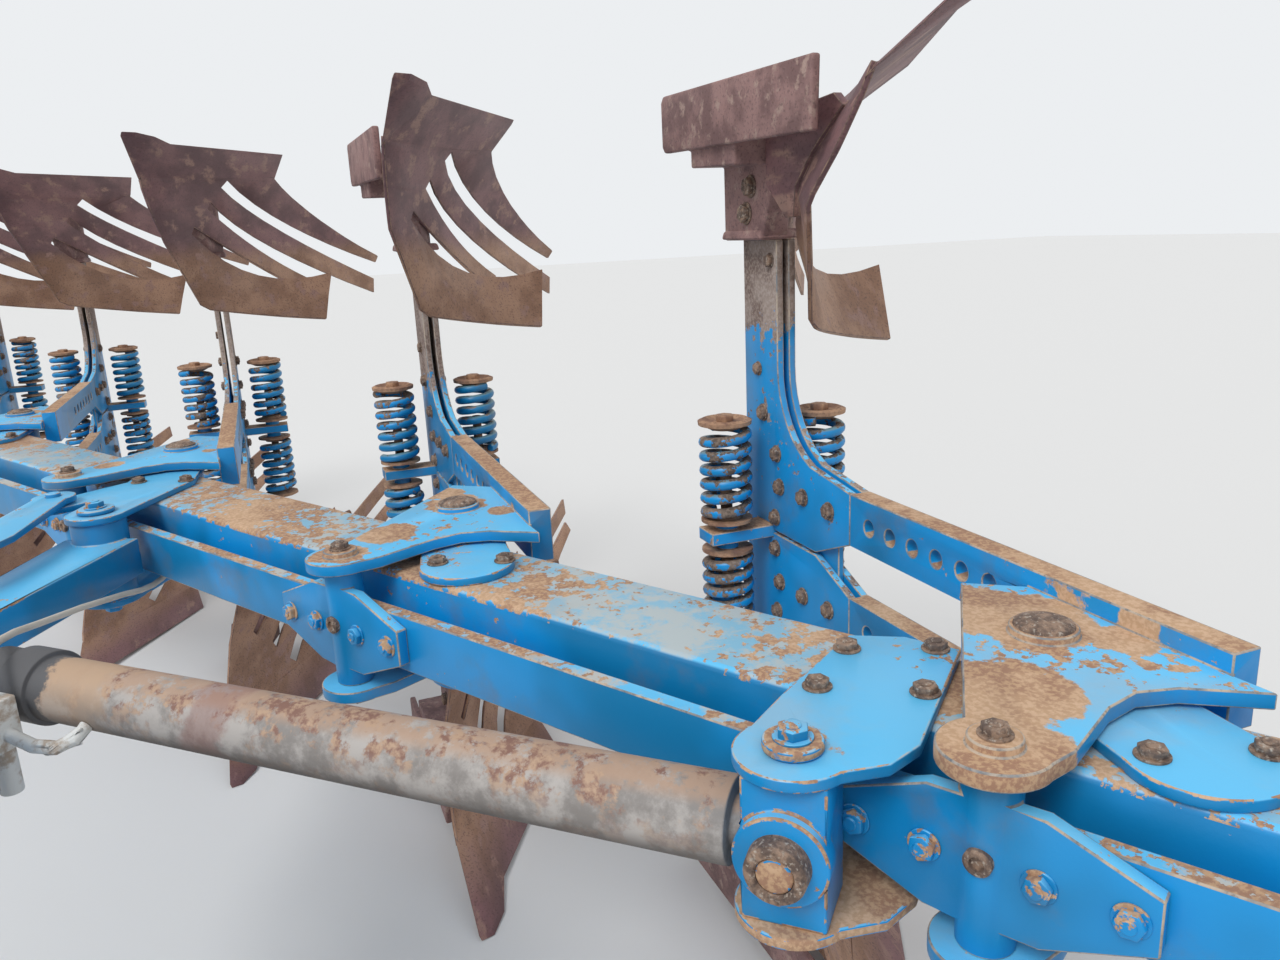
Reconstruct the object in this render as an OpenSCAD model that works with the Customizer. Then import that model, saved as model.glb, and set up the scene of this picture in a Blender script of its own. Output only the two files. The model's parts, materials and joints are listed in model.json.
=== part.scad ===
// Semi-mounted reversible plough with slatted bodies, trip springs and variable furrow width.
// X points in the direction of travel, Y to the left and Z up. The floor is at Z = 0.
// Bodies come in pairs, one under the beam and its mirror image above it.

/* [Frame layout] */
// Distance between two neighbouring body pivots, along the beam
station_pitch = 1100; // [1000:10:1200]
// Angle between the beam and the direction of travel at the widest setting
beam_angle = 30; // [26:1:34]
// Height from the middle of the beam to the points of the lower shares
half_height = 927; // [880:1:980]
// Width of the beam's square tube
beam_w = 190; // [160:5:200]
// Height of the beam's square tube
beam_h = 170; // [150:5:190]
// Wall of the beam's tube
beam_wall = 10; // [8:1:16]
// Sideways distance from the line of pivots to the beam's near wall
beam_side = 45; // [45:1:60]
// Length of beam ahead of the front pivot
beam_nose = 120; // [100:5:160]
// Length of beam behind the last pivot
beam_tail = 260; // [200:10:320]
// Distance from the first body's pivot to the front pivot, along the beam
front_pitch = 700; // [640:10:800]

/* [Pivot plates and carriers] */
// Thickness of the plates on the beam
plate_t = 14; // [10:1:16]
// Thickness of the crank plates
crank_t = 20; // [15:1:25]
// Running gap between a crank plate and the plate under it
crank_gap = 5; // [5:1:8]
// Diameter of the body pivots
pivot_d = 60; // [50:2:70]
// Outer diameter of the tube that holds a body pivot
pivot_tube_d = 88; // [80:2:88]
// Radius of the crank, from the body pivot to the control bar's pin
crank_r = 299; // [290:1:310]
// Diameter of the control bar's pins
control_pin_d = 36; // [30:2:40]
// Near face of the carrier bars, to the left of the pivot
carrier_y = 95; // [90:1:110]
// Width of the carrier bars
carrier_w = 42; // [36:1:60]
// Gap between the upper and lower carrier bars
carrier_gap = 104; // [100:2:120]
// Height of each carrier bar
carrier_h = 98; // [80:2:110]
// Diameter of the holes along a carrier bar
carrier_hole_d = 30; // [20:1:36]
// Front edge of the hub plates, behind the pivot
hub_front = 580; // [560:5:620]
// Rear edge of the hub plates and legs, behind the pivot
hub_rear = 985; // [950:5:1000]

/* [Legs and springs] */
// Thickness of each leg plate
leg_t = 15; // [12:1:18]
// Height of the lower legs' ends above the floor
frog_seat = 327; // [287:5:347]
// Width of a leg at its end
leg_w = 140; // [120:5:150]
// Outer diameter of a trip spring
spring_d = 110; // [90:2:120]
// Wire of a trip spring
spring_wire = 19; // [14:1:22]
// Turns in each spring
spring_turns = 6; // [5:1:7]
// Height of each spring
spring_len = 208; // [180:2:230]
// Sideways distance of each spring from the middle of the leg
spring_side = 112; // [100:1:125]

/* [Bodies] */
// Length of the landside
landside_l = 600; // [500:10:650]
// Height of the landside
landside_h = 112; // [90:2:130]
// Thickness of the landside
landside_t = 16; // [10:1:20]
// Thickness of the mouldboard's slats
slat_t = 9; // [7:1:12]
// Thickness of the share
share_t = 14; // [10:1:18]

/* [Control bar and swing cylinder] */
// Height of the control bar
bar_h = 96; // [80:2:110]
// Thickness of the control bar
bar_t = 25; // [20:1:30]
// Length of each bracket on the control bar
bar_bracket_l = 330; // [300:10:340]
// Diameter of the swing cylinder's barrel
barrel_d = 98; // [90:2:110]
// Length of the swing cylinder's barrel
barrel_l = 1190; // [1120:10:1210]
// Diameter of the swing cylinder's rod
rod_d = 55; // [45:1:60]
// Diameter of the oil hose and pipe
hose_d = 12; // [10:1:14]
// Outer diameter of the tubes that hold the control bar's pins
bar_tube_d = 62; // [56:1:66]

/* [Wheel] */
// Outer diameter of the tyre
tyre_d = 960; // [900:10:1000]
// Width of the tyre
tyre_w = 320; // [260:10:340]
// Diameter of the rim
rim_d = 406; // [380:2:430]
// Distance from the swing cylinder's eye to the wheel head's pin along the arm
eye_back = 175; // [165:5:185]
// Distance from the arm's pin to the wheel head's pin
arm_l = 700; // [690:5:740]
// Gap between the tyre and the end of the wheel head
wheel_gap = 19; // [15:1:40]

/* [Headstock] */
// Height of the lower link pins above the floor
hitch_h = 640; // [600:10:700]
// Distance between the shoulders of the lower link pins
hitch_span = 965; // [825:5:1000]
// Diameter of the lower link pins
hitch_pin_d = 36.6; // [28:0.1:37]
// Length of each lower link pin
hitch_pin_l = 100; // [80:5:120]
// Radius of the turning spindle
spindle_r = 90; // [80:5:100]
// Diameter of the parking stand's leg
stand_d = 76; // [70:2:90]

/* [Hidden] */
$fn = 48;
stations = 5;
fit = 0.05;
run = 0.5;
spindle_y = 200;
head_x = 900;
housing_x = 960;
housing_l = 260;
hitch_x = 1330;
control_angle = -51.5;
axle_z = half_height - tyre_d / 2;
shaft_end = 338;
wheel_lead = shaft_end + sqrt(max(0, pow(tyre_d / 2 + wheel_gap, 2) - pow(axle_z - 50, 2)));
arm_eye = arm_l - eye_back;
leg_end = half_height - frog_seat;
beam_mid = beam_side + beam_w / 2;
crank_z = beam_h / 2 + plate_t + crank_gap;
plate_top = beam_h / 2 + plate_t;
carrier_z = carrier_gap / 2;
leg_mid = carrier_y + carrier_w / 2;
pin_a = crank_r * cos(control_angle - beam_angle);
pin_p = -crank_r * sin(control_angle - beam_angle);
pin_x = crank_r * cos(control_angle);
pin_y = crank_r * sin(control_angle);
boss_h = 2 * crank_z - 2 * run;
lobe_1 = [-137, -377];
lobe_3 = [358, -368];
arm_at = [lobe_3[0] - 2 * station_pitch, lobe_3[1]];
arm_dir = -53.5;
eye_at = arm_at + arm_eye * [cos(arm_dir), sin(arm_dir)];
king_at = arm_at + arm_l * [cos(arm_dir), sin(arm_dir)];
swing_vec = eye_at - lobe_1;
swing_l = norm(swing_vec);
swing_dir = atan2(swing_vec[1], swing_vec[0]);
link_off = [-158, -22];
spring_x = 905;
spring_foot = 30;
yoke_w = 68;
yoke_t = 26;
width_at = 380;
width_pin = [543, 579];
width_lug = [width_at * cos(beam_angle) - 10 * sin(beam_angle),
  width_at * sin(beam_angle) + 10 * cos(beam_angle)];
width_vec = width_lug - width_pin;
width_dir = atan2(width_vec[1], width_vec[0]);
width_l = norm(width_vec);
barrel_at = 64;
port_along = 1150;
port_side = 86;
port_top = 22;
port_at = lobe_1 + port_along * [cos(swing_dir), sin(swing_dir)]
  + port_side * [-sin(swing_dir), cos(swing_dir)];
stand_x = 1100;
stand_y = -20;
x_front = hitch_x + 60;
// Edge of the mouldboard beside the landside, from the point on, columns: x, y, distance from the
// level of the sole
shin_line = [[-345, -20, 87], [-380, -20, 134], [-452, -12, 195], [-548, 0, 261], [-616, 14, 332],
  [-652, 39, 404], [-664, 67, 469]];
// Edges of the slats, from the one beside the share on. Columns: distance of the landside edge from
// the sole, then the places where the slot starts, half way along and at the slat's end
slat_edges = [
  [87, [-943, 342, 67], [-1400, 495, 195], [-1890, 770, 365]],
  [115, [-757, 196, 85], [-1277, 390, 227], [-1924, 762, 389]],
  [127, [-746, 176, 107], [-1244, 356, 245], [-1825, 734, 457]],
  [182, [-765, 137, 151], [-1190, 325, 309], [-1821, 728, 519]],
  [197, [-770, 125, 171], [-1124, 265, 307], [-1400, 430, 422]],
  [255, [-717, 80, 227], [-1060, 240, 350], [-1380, 425, 477]],
  [272, [-702, 70, 247], [-960, 252, 392], [-1096, 505, 399]],
  [469, [-690, 96, 487], [-850, 250, 522], [-985, 463, 561]]];
slot_col = 3;
columns = 11;
rows = len(slat_edges) - 1;
tail_reach = min([for (i = [0 : rows]) for (t = [0, slat_t])
  (board_point(i, columns) + t * board_normal(i, columns))[0]]);
x_rear = tail_reach - (stations - 1) * station_pitch * cos(beam_angle);
y_left = spindle_y + hitch_span / 2 + hitch_pin_l;
bar_outer = pin_p - 9 + bar_t / 2 + 20;
y_right = -(stations - 1) * station_pitch * sin(beam_angle)
  + (pin_a - bar_bracket_l / 2) * sin(beam_angle) - bar_outer * cos(beam_angle);
origin_x = (x_front + x_rear) / 2;
origin_y = (y_left + y_right) / 2;
BLUE = [0.10, 0.45, 0.75];
PALE_BLUE = [0.45, 0.66, 0.78];
RUST = [0.36, 0.22, 0.18];
WORN = [0.52, 0.36, 0.26];
STEEL = [0.45, 0.42, 0.38];
BLACK = [0.08, 0.08, 0.08];

// Places what is drawn round the first pivot, at the beam's height, on the floor
module placed() {
  translate([-origin_x, -origin_y, half_height]) children();
}

// Turns what is drawn along the beam into the direction of travel
module on_beam() {
  rotate([0, 0, beam_angle]) children();
}

module at_station(k) {
  translate(-(k - 1) * station_pitch * [cos(beam_angle), sin(beam_angle), 0]) children();
}

// Draws its children twice, above and below the middle of the beam
module both_sides() {
  children();
  mirror([0, 0, 1]) children();
}

// Flat link with two round ends
module link_shape(p, r, q, s) {
  d = norm(q - p);
  turn = atan2(q[1] - p[1], q[0] - p[0]);
  lean = asin((r - s) / d);
  translate(p) circle(r);
  translate(q) circle(s);
  in = 0.985;
  translate(p) rotate(turn) polygon([
    in * r * [sin(lean), cos(lean)], [d, 0] + in * s * [sin(lean), cos(lean)],
    [d, 0] + in * s * [sin(lean), -cos(lean)], in * r * [sin(lean), -cos(lean)]]);
}

// Round tube along Z, centred at the origin
module tube(outer, inner, h) {
  difference() {
    cylinder(h = h, d = outer, center = true);
    cylinder(h = h + 2, d = inner, center = true);
  }
}

function arc_points(c, r, from, to, steps) =
  [for (i = [0 : steps]) let (turn = from + (to - from) * i / steps) c + r * [cos(turn), sin(turn)]];

module beam() {
  l = front_pitch + beam_nose + (stations - 1) * station_pitch + beam_tail;
  color(BLUE) on_beam() translate([front_pitch + beam_nose - l, -beam_side - beam_w, -beam_h / 2])
    difference() {
      cube([l, beam_w, beam_h]);
      translate([beam_wall, beam_wall, beam_wall])
        cube([l - 2 * beam_wall, beam_w - 2 * beam_wall, beam_h - 2 * beam_wall]);
    }
}

// Oval plates and pivot tubes beside the beam, with the lobes that carry the wheel arm
module pivot_plates() {
  color(PALE_BLUE) on_beam() {
    for (k = [1 : stations])
      translate([-(k - 1) * station_pitch, 0, 0]) {
        both_sides() translate([0, 0, beam_h / 2]) linear_extrude(plate_t) difference() {
          union() {
            link_shape([0, 0], 70, [205, -beam_mid - 20], 80);
            if (k == 3) {
              link_shape([205, -beam_mid - 20], 80, lobe_3, 62);
              link_shape([190, -beam_mid - 30], 60, lobe_3 + link_off, 44);
            }
          }
          circle(d = pivot_d + 2 * fit);
          if (k == 3) translate(lobe_3) circle(d = pivot_d - 10 + 2 * fit);
        }
        tube(pivot_tube_d, pivot_d + 2 * fit, beam_h);
      }
    translate(concat(arm_at + link_off, [plate_top - 4])) cylinder(h = crank_gap + plate_t + 12, d = 30);
    translate([front_pitch, 0, 0]) {
      both_sides() translate([0, 0, beam_h / 2]) linear_extrude(plate_t) difference() {
        link_shape([0, 0], 70, [-190, -beam_mid], 80);
        circle(d = pivot_d + 2 * fit);
      }
      tube(pivot_tube_d, pivot_d + 2 * fit, beam_h);
    }
  }
}

// Plates that hold the swing cylinder's knuckle, and the lug for the width cylinder
module brackets() {
  color(PALE_BLUE) on_beam() {
    both_sides() translate([0, 0, beam_h / 2]) linear_extrude(plate_t) difference() {
      union() {
        polygon([[-84, -beam_side - 4], [-160, -beam_side - 4], [-224, -84], [-210, -277],
          lobe_1 + [-62, 12],
          lobe_1 + [58, -20], [-40, -350], [-31, -296]]);
        translate(lobe_1) circle(65);
      }
      translate(lobe_1) circle(d = 44 + 2 * fit);
    }
    translate([width_at, 10, 0]) difference() {
      translate([-40, -beam_side - 10, -22]) cube([80, beam_side + 10, 44]);
      translate([-41, -41, -12 - run]) cube([82, 82, 24 + 2 * run]);
    }
    translate([width_at, 10, 0]) {
      both_sides() translate([0, 0, 12 + run]) cylinder(h = 10 - run, r = 40);
      cylinder(h = 56, d = 28, center = true);
    }
  }
}

module trapezoid_plate() {
  l = bar_bracket_l / 2;
  translate([0, -bar_outer, 0]) rotate([-90, 0, 0]) linear_extrude(20)
    polygon([[-l, -30], [-60, -72], [60, -72], [l, -30], [l, 30], [60, 72], [-60, 72], [-l, 30]]);
}

// Places of the control bar's pins: one ahead of the bodies and one at each crank
module bar_pins(h, d) {
  for (k = [0 : stations])
    translate([pin_a + (k == 0 ? front_pitch : -(k - 1) * station_pitch), -pin_p, 0])
      cylinder(h = h, d = d, center = true);
}

// Long flat bar between the pin tubes
module control_bar() {
  back = -(stations - 1) * station_pitch + pin_a - bar_bracket_l / 2;
  color(BLUE) on_beam() difference() {
    translate([back, 20 - bar_outer, -bar_h / 2]) cube([front_pitch + pin_a - 20 - back, bar_t, bar_h]);
    bar_pins(bar_h + 2, bar_tube_d + 0.3);
  }
}

// Pin tubes of the control bar, with a bolted bracket at each crank
module bar_brackets() {
  color(BLUE) on_beam() difference() {
    union() {
      for (k = [1 : stations]) translate([pin_a - (k - 1) * station_pitch, 0, 0]) trapezoid_plate();
      bar_pins(boss_h, bar_tube_d);
    }
    bar_pins(boss_h + 2, control_pin_d + 2 * fit);
  }
}

// Outline of a crank plate: the arm to the control bar, the nose and the heel at the carrier bars
module crank_shape() {
  polygon([[-187, 25], [-130, carrier_y + 2], [182, carrier_y + 2], [232, 100], [178, 22], [165, -26],
    [178, -77],
    [pin_x + 44, pin_y + 60], [pin_x + 58, pin_y], [pin_x, pin_y - 20], [pin_x - 57, pin_y + 8]]);
  translate([pin_x, pin_y]) circle(58);
}

module carrier_pins() {
  cylinder(h = 2 * crank_z + 2 * crank_t, d = pivot_d, center = true);
  both_sides() translate([0, 0, crank_z + crank_t]) cylinder(h = 10, d = 84);
  translate([pin_x, pin_y, 0]) {
    cylinder(h = 2 * crank_z + 2 * crank_t, d = control_pin_d, center = true);
    both_sides() translate([0, 0, crank_z + crank_t]) cylinder(h = 10, d = 56);
  }
}

// Crank plates, perforated carrier bars and the twin hub plates of one pair of bodies
module carrier(k) {
  color(BLUE) at_station(k) {
    both_sides() {
      translate([0, 0, crank_z]) linear_extrude(crank_t) crank_shape();
      translate([-hub_front, carrier_y, carrier_z]) difference() {
        cube([hub_front + 182, carrier_w, carrier_h]);
        for (i = [0 : 6]) translate([60 + 62 * i, -1, carrier_h / 2])
          rotate([-90, 0, 0]) cylinder(h = carrier_w + 2, d = carrier_hole_d);
      }
      translate([-hub_front - 60, carrier_y + leg_t, carrier_z + 8])
        cube([62, carrier_w - 2 * leg_t, carrier_h - 16]);
    }
    translate([-hub_rear, carrier_y + leg_t, -120])
      cube([hub_rear - hub_front - 60, carrier_w - 2 * leg_t, 240]);
    spring_yoke();
    carrier_pins();
  }
}

// Cross plate through the hub that the trip springs stand on
module spring_yoke() {
  translate([-spring_x - yoke_w / 2, leg_mid - spring_side - 50, -yoke_t / 2])
    cube([yoke_w, 2 * spring_side + 100, yoke_t]);
  for (s = [-1, 1]) translate([-spring_x, leg_mid + s * spring_side, 0])
    cylinder(h = 2 * spring_foot, d = 46, center = true);
}

// Side view of one leg: straight shank, curved throat and hub plate with a notch for the yoke
module leg_shape() {
  r = 190;
  notch = yoke_w / 2 + 1;
  front = leg_w - hub_rear;
  polygon(concat([[-hub_rear, 3], [-hub_rear, leg_end], [front, leg_end]],
    arc_points([front + r, 350], r, 180, 250, 8),
    [[-hub_front, carrier_z + carrier_h], [-hub_front, carrier_z], [-700, 3],
      [notch - spring_x, 3], [notch - spring_x, yoke_t / 2 + 0.3],
      [-notch - spring_x, yoke_t / 2 + 0.3], [-notch - spring_x, 3]]));
}

module legs(k) {
  color(BLUE) at_station(k) both_sides()
    for (y = [carrier_y, carrier_y + carrier_w - leg_t])
      translate([0, y + leg_t, 0]) rotate([90, 0, 0]) linear_extrude(leg_t) leg_shape();
}

// One trip spring, its turns fused to the sleeve inside it
module spring() {
  pitch = (spring_len - spring_wire) / (spring_turns - 1);
  rotate_extrude() {
    square([spring_d / 2 - spring_wire + 3, spring_len + 4]);
    translate([0, spring_len - 5]) square([spring_d / 2 - 8, 13]);
    for (i = [0 : spring_turns - 1])
      translate([spring_d / 2 - spring_wire / 2, spring_wire / 2 + i * pitch]) circle(d = spring_wire);
  }
}

module springs(k) {
  color(STEEL) at_station(k) both_sides() for (s = [-1, 1])
    translate([-spring_x, leg_mid + s * spring_side, spring_foot]) spring();
}

// Flat piece across the travel, drawn by its side view in X and Z between two places in Y
module upright(from, to) {
  translate([0, to, 0]) rotate([90, 0, 0]) linear_extrude(to - from) children();
}

// Frog casting on the leg's end, with the landside on its outer face
module frogs(k) {
  h = half_height;
  seat = leg_end + 0.3;
  outer = carrier_y + carrier_w + 12;
  color(RUST) at_station(k) both_sides() {
    intersection() {
      upright(60.3, outer)
        polygon([[-1000, seat], [-1000, h - 137], [-640, h - 115], [-650, h - 162], [-780, h - 197],
          [-840, seat]]);
      linear_extrude(half_height) polygon([[-1001, 0], [-1001, outer + 1], [-930, outer + 1], [-930, outer],
        [-680, 60.3], [-680, 0]]);
    }
    upright(-12, 64) polygon([[-1000, h - 182], [-1000, h - 92], [-805, h - 85], [-805, h - 189]]);
    upright(-25, landside_t - 25)
      translate([-1116, h - 159]) polygon([[0, 26], [12, 14], [landside_l, 0], [landside_l + 6, landside_h],
        [12, 14 + landside_h], [0, 2 + landside_h]]);
  }
}

// Place in beam height of a row that gives its distance from the sole
function from_sole(p) = [p[0], p[1], half_height - p[2]];

function shin_at(h) = from_sole([lookup(h, [for (r = shin_line) [r[2], r[0]]]),
  lookup(h, [for (r = shin_line) [r[2], r[1]]]), h]);

// Point on row i of the slats' edges: column 0 is the landside edge, the slots start at slot_col
function board_point(i, j) =
  let (r = slat_edges[i], a = shin_at(r[0]), b = from_sole(r[1]), c = from_sole(r[2]), d = from_sole(r[3]))
  j <= slot_col ? a + (b - a) * j / slot_col
  : let (t = (j - slot_col) / (columns - slot_col))
    (1 - t) * (1 - 2 * t) * b + 4 * t * (1 - t) * c + t * (2 * t - 1) * d;
function board_normal(i, j) =
  let (u = board_point(i, min(j + 1, columns)) - board_point(i, max(j - 1, 0)))
  let (v = board_point(min(i + 1, rows), j) - board_point(max(i - 1, 0), j))
  let (n = cross(u, v)) n / norm(n);
function is_metal(i, j) = i >= 0 && i < rows && j >= 0 && j < columns && (i % 2 == 0 || j < slot_col);

// Two triangles for each four-cornered face
function halves(quads) = [for (q = quads) for (h = [[0, 1, 2], [0, 2, 3]]) [q[h[0]], q[h[1]], q[h[2]]]];

// Slatted mouldboard as one comb-shaped shell
module board() {
  back = (rows + 1) * (columns + 1);
  function at(i, j) = i * (columns + 1) + j;
  points = [for (t = [0, slat_t]) for (i = [0 : rows]) for (j = [0 : columns])
    board_point(i, j) + t * board_normal(i, j)];
  cells = [for (i = [0 : rows - 1]) for (j = [0 : columns - 1]) if (is_metal(i, j)) [i, j]];
  polyhedron(points = points, faces = halves(concat(
    [for (c = cells) [at(c[0], c[1]), at(c[0], c[1] + 1), at(c[0] + 1, c[1] + 1), at(c[0] + 1, c[1])]],
    [for (c = cells) [back + at(c[0], c[1]), back + at(c[0] + 1, c[1]), back + at(c[0] + 1, c[1] + 1),
      back + at(c[0], c[1] + 1)]],
    [for (c = cells) if (!is_metal(c[0] - 1, c[1]))
      [at(c[0], c[1]), back + at(c[0], c[1]), back + at(c[0], c[1] + 1), at(c[0], c[1] + 1)]],
    [for (c = cells) if (!is_metal(c[0] + 1, c[1])) [at(c[0] + 1, c[1]), at(c[0] + 1, c[1] + 1),
      back + at(c[0] + 1, c[1] + 1), back + at(c[0] + 1, c[1])]],
    [for (c = cells) if (!is_metal(c[0], c[1] - 1))
      [at(c[0], c[1]), at(c[0] + 1, c[1]), back + at(c[0] + 1, c[1]), back + at(c[0], c[1])]],
    [for (c = cells) if (!is_metal(c[0], c[1] + 1)) [at(c[0], c[1] + 1), back + at(c[0], c[1] + 1),
      back + at(c[0] + 1, c[1] + 1), at(c[0] + 1, c[1] + 1)]])));
}

// Rib between the frog and the back of the mouldboard
module rib() {
  upright(44, 60) translate([0, half_height])
    polygon([[-790, -227], [-790, -112], [-560, -97], [-533, -119], [-607, -167], [-629, -183],
      [-683, -234], [-690, -287], [-720, -287]]);
}

module boards(k) {
  color(WORN) at_station(k) both_sides() {
    board();
    share();
    rib();
  }
}

// Share with its raised point: a flat plate from the cutting edge down to the mouldboard
module share() {
  z = half_height;
  edge = [[-88, -24, z], [-96, 8, z - 1], [-158, 46, z - 6], [-275, 74, z - 14], [-812, 378, z - 3],
    [-962, 350, z - 62], [-345, -22, z - 88]];
  n = len(edge);
  polyhedron(points = concat(edge, [for (p = edge) p + share_t * [-0.55, -0.35, -0.76]]),
    faces = concat([for (i = [0 : n - 3]) [n - 1, i + 1, i]],
      [for (i = [0 : n - 3]) [2 * n - 1, n + i, n + i + 1]],
      halves([for (i = [0 : n - 1]) [i, (i + 1) % n, n + (i + 1) % n, n + i]])));
}

// Block that holds the swing cylinder's end between the bracket plates, with its cross pin
module swing_knuckle() {
  color(BLUE) on_beam() translate(lobe_1) {
    cylinder(h = beam_h + 2 * plate_t + 20, d = 44, center = true);
    both_sides() translate([0, 0, plate_top + 0.3]) cylinder(h = 12, d = 66);
    rotate([0, 0, swing_dir]) {
      translate([-46, -40, run - beam_h / 2]) cube([92, 86, beam_h - 2 * run]);
      translate([0, 60, 0]) rotate([90, 0, 0]) cylinder(h = 30, d = 104);
      translate([0, 82, 0]) rotate([90, 0, 0]) cylinder(h = 40, d = 40);
    }
  }
}

module swing_barrel() {
  color(STEEL) on_beam() translate(lobe_1) rotate([0, 0, swing_dir]) {
    translate([46.3, 0, 0]) rotate([0, 90, 0]) cylinder(h = 30, d = 58);
    translate([barrel_at, 0, 0]) rotate([0, 90, 0]) difference() {
      cylinder(h = barrel_l, d = barrel_d);
      translate([0, 0, 30]) cylinder(h = barrel_l, d = rod_d + 2 * fit);
    }
    translate([barrel_at + barrel_l - 90, 0, 0]) rotate([0, 90, 0]) tube(barrel_d + 16, barrel_d - 4, 60);
  }
}

// Round pipe along a list of places
module pipe(places, d) {
  sides = 16;
  n = len(places);
  lean = [0.4, 0.8, 0.45];
  way = [for (i = [0 : n - 1]) let (v = places[min(i + 1, n - 1)] - places[max(i - 1, 0)]) v / norm(v)];
  rings = [for (i = [0 : n - 1])
    let (over = cross(way[i], lean), a = over / norm(over), b = cross(a, way[i]))
    for (j = [0 : sides - 1]) places[i] + d / 2 * (cos(360 * j / sides) * a + sin(360 * j / sides) * b)];
  polyhedron(points = rings, faces = concat(
    [[for (j = [0 : sides - 1]) sides - 1 - j]],
    [[for (j = [0 : sides - 1]) (n - 1) * sides + j]],
    halves([for (i = [0 : n - 2]) for (j = [0 : sides - 1]) [i * sides + j, i * sides + (j + 1) % sides,
      (i + 1) * sides + (j + 1) % sides, (i + 1) * sides + j]])));
}

// Oil port of the swing cylinder: a bent pipe from the barrel to a block beside it
module port_block() {
  seat = barrel_d / 2 + 0.3;
  down = [0, cos(25), -sin(25)];
  color(STEEL) on_beam() translate(lobe_1) rotate([0, 0, swing_dir]) {
    translate([port_along - 22, port_side - 20, port_top - 77]) cube([50, 42, 77]);
    translate([port_along, port_side, port_top - 150]) cylinder(h = 80, d = 32);
    pipe([[port_along - 130, 0, 0] + seat * down, [port_along - 130, 0, 0] + (seat + 26) * down,
      [port_along - 114, port_side - 2, -38], [port_along - 70, port_side, -42],
      [port_along - 10, port_side, -30]], 20);
  }
}

// Oil hose along the beam's side, under the control bar and over the swing cylinder to its port
module hose() {
  side = -beam_side - beam_w - hose_d / 2 - 0.3;
  color(WORN) on_beam() {
    pipe([[500, side, -20], [-1740, side, -20], [-1772, side, -28], [-1795, side - 3, -45],
      [-1805, side - 14, -62], [-1799, side - 35, -71], [-1780, side - 63, -73], [-1745, -345, -65],
      [-1698, -400, -47], [-1612, -510, -19], [-1498, -620, 14], [-1400, -688, 45], [-1309, -737, 70],
      [-1264, -765, 75], [-1234, -781, 63], concat(port_at, [44]),
      concat(port_at, [port_top + 0.3])], hose_d);
    translate([500, -beam_side - beam_w - 0.3, -20]) rotate([90, 0, 0]) cylinder(h = hose_d + 4, d = 26);
  }
}

module swing_rod() {
  rod_from = barrel_at + barrel_l - 500;
  color(STEEL) on_beam() translate(lobe_1) rotate([0, 0, swing_dir]) {
    translate([rod_from, 0, 0]) rotate([0, 90, 0]) cylinder(h = swing_l - 110 - rod_from, d = rod_d);
    translate([swing_l - 122, -40, -72]) cube([24, 80, 144]);
    both_sides() {
      translate([0, 0, 50]) linear_extrude(22) link_shape([swing_l - 90, 0], 40, [swing_l, 0], 45);
      translate([swing_l, 0, 71]) cylinder(h = 11, d = 60);
    }
  }
}

// Box-section arm that swings about the pin in the third station's lobe
module wheel_arm() {
  color(BLUE) on_beam() translate(arm_at) rotate([0, 0, arm_dir]) {
    cylinder(h = beam_h - 2 * run, d = 110, center = true);
    cylinder(h = beam_h + 2 * plate_t + 16, d = pivot_d - 10, center = true);
    both_sides() translate([0, 0, plate_top + 0.3]) cylinder(h = 10, d = 74);
    translate([0, 0, -40]) linear_extrude(80)
      polygon([[0, -82], [0, 82], [300, 66], [arm_eye + 40, 50], [arm_l - 40, 60], [arm_l - 40, -60],
        [arm_eye + 40, -50], [300, -66]]);
    translate([arm_l, 0, 0]) tube(150, 60 + 2 * run, 160);
    translate([arm_eye, 0, 0]) cylinder(h = 88, d = 96, center = true);
  }
}

// Flat link that keeps the wheel head parallel to the beam
module wheel_link() {
  color(PALE_BLUE) on_beam() translate(concat(arm_at + link_off, [crank_z])) rotate([0, 0, arm_dir])
    linear_extrude(plate_t) difference() {
      union() {
        circle(44);
        translate([arm_l, 0]) circle(44);
        polygon([[0, -36], [arm_l / 2, 22], [arm_l, -36], [arm_l, 36], [arm_l / 2 + 60, 108],
          [arm_l / 2 - 60, 108], [0, 36]]);
      }
      circle(d = 30 + 2 * fit);
      translate([arm_l, 0]) circle(d = 30 + 2 * fit);
    }
}

// Head at the arm's end: upright pin, lever for the link and the level swing shaft
module wheel_head() {
  color(BLUE) on_beam() translate(king_at) {
    cylinder(h = 2 * crank_z - 8, d = 60, center = true);
    both_sides() translate([0, 0, 80 + run]) rotate([0, 0, -beam_angle]) linear_extrude(14) {
      circle(70);
      translate([10, -58]) square([80, 116]);
    }
    translate([0, 0, crank_z - 19]) linear_extrude(14) {
      translate(link_off) circle(44);
      polygon([[-40, 44], [-40, -50], link_off + [8, -40], link_off + [-8, 40]]);
    }
    translate(concat(link_off, [crank_z - 10])) cylinder(h = 40, d = 30);
    rotate([0, 0, -beam_angle]) {
      translate([84, -60, -90]) cube([40, 120, 180]);
      translate([100, 0, 0]) rotate([0, 90, 0]) cylinder(h = shaft_end - 108, d = 70);
      translate([shaft_end - 16, 0, 0]) rotate([0, 90, 0]) cylinder(h = 16, d = 100);
    }
  }
}

// Leg that swings about the head's level shaft and carries the wheel's stub axle
module wheel_leg() {
  side = tyre_w / 2 + 45;
  color(BLUE) on_beam() translate(king_at) rotate([0, 0, -beam_angle]) {
    translate([225, 0, 0]) rotate([0, 90, 0]) tube(120, 70 + 2 * fit, 180);
    translate([160, 50, -35]) cube([72, side - 25, 70]);
    translate([0, side + 35, 0]) rotate([90, 0, 0]) linear_extrude(35) {
      link_shape([204, 0], 44, [wheel_lead, -axle_z], 60);
    }
    translate([wheel_lead, -20, -axle_z]) rotate([-90, 0, 0]) cylinder(h = side + 20, d = 60);
  }
}

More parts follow.
